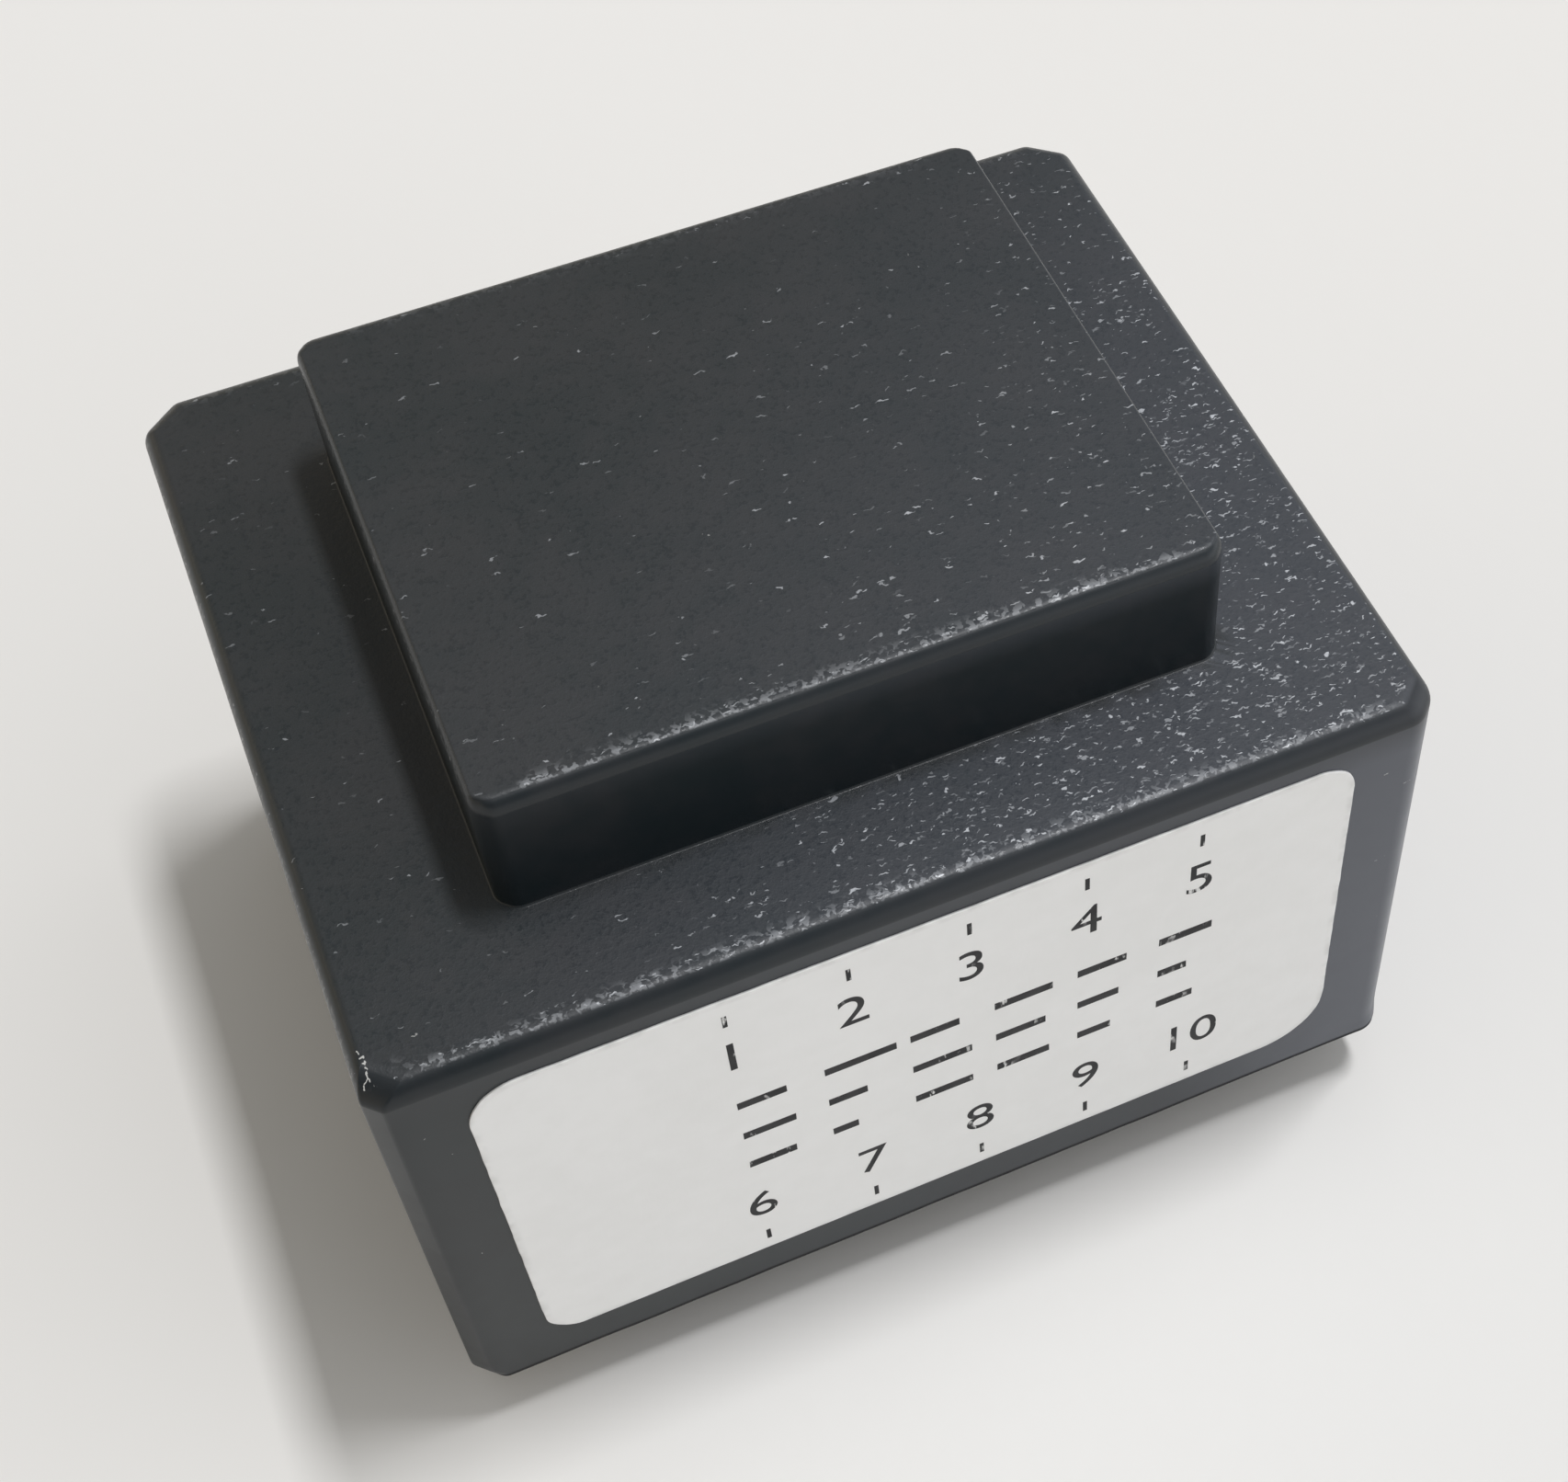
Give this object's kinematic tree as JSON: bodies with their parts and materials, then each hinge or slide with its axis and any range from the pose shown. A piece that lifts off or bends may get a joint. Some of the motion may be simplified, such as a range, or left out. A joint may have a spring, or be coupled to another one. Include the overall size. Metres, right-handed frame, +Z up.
{
  "type": "potted circuit-board transformer",
  "caption": "Potted mains transformer for a circuit board: a grey moulded housing with a raised dome over the coil, a label on its long side and solder pins below.",
  "frame": {"origin": "centre of the housing's rim, in the plane of the circuit board", "axes": "+X along the long side, the labelled face towards -Y, +Z up from the board through the dome"},
  "size_m": [0.044, 0.0375, 0.0349],
  "materials": {
    "housing_plastic": "dark grey glass-filled moulding, pebbled on the flat tops and smooth on the sides, edges a little polished",
    "label_film": "pale grey satin label film with plain black print",
    "resin": "cast resin, self-levelled, semi-gloss with small bubbles",
    "bobbin_plastic": "natural moulded nylon",
    "core_steel": "grey annealed silicon steel sheet with punched edges",
    "enamelled_wire": "copper wire with clear enamel, wound in layers",
    "insulating_tape": "yellow polyester wrapping tape",
    "lead_wire": "enamelled copper wire",
    "tinned_pin": "bright tin plate, slightly dulled",
    "solder": "soft solder, satin"
  },
  "bodies": {
    "root": {"housing": "housing_plastic", "label": "label_film", "potting_resin": "resin", "bobbin": "bobbin_plastic", "core_sheets_odd": "core_steel", "core_sheets_even": "core_steel", "primary_winding": "enamelled_wire", "secondary_winding": "enamelled_wire", "primary_tape": "insulating_tape", "secondary_tape": "insulating_tape", "primary_start_lead": "lead_wire", "primary_finish_lead": "lead_wire", "secondary_start_lead": "lead_wire", "secondary_finish_lead": "lead_wire", "primary_start_pin": "tinned_pin", "primary_finish_pin": "tinned_pin", "secondary_start_pin": "tinned_pin", "secondary_finish_pin": "tinned_pin", "primary_start_solder": "solder", "primary_finish_solder": "solder", "secondary_start_solder": "solder", "secondary_finish_solder": "solder"}
  },
  "joints": []
}
